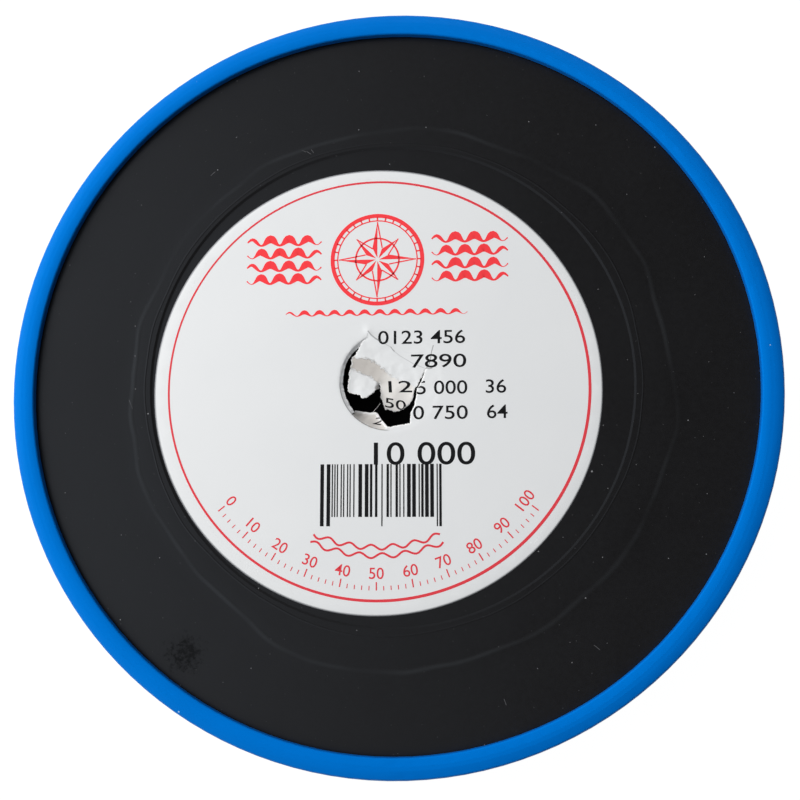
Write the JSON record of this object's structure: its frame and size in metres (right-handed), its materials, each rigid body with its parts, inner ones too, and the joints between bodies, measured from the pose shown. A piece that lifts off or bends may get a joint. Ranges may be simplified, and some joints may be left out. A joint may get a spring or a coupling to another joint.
{
  "type": "fishing line spool",
  "caption": "Flat round fishing line spool: black snapped-together halves hold the wound line, a blue band round the rim keeps it on, and a torn paper label covers the bore.",
  "frame": {"origin": "on the spool's axis, in the plane that the blue band rests on when the spool lies on its rear side", "axes": "+Z along the spool's axis, out of its labelled front; +X to the right and +Y up as the label is read; the line hole in the band faces +X at rest"},
  "size_m": [0.16, 0.16, 0.022],
  "materials": {
    "black_plastic": "satin moulded polystyrene, lightly scratched",
    "blue_plastic": "satin soft polyethylene",
    "clear_line": "clear nylon monofilament",
    "label_paper": "printed adhesive paper"
  },
  "bodies": {
    "spool": {"front_spool_half": "black_plastic", "rear_spool_half": "black_plastic", "line_winding": "clear_line", "front_label": "label_paper"},
    "band": {"keeper_band": "blue_plastic"}
  },
  "joints": [
    {"name": "band_slip", "type": "hinge", "parent": "spool", "child": "band", "pos_m": [0, 0, 0.011], "axis": [0, 0, 1], "continuous": true}
  ]
}
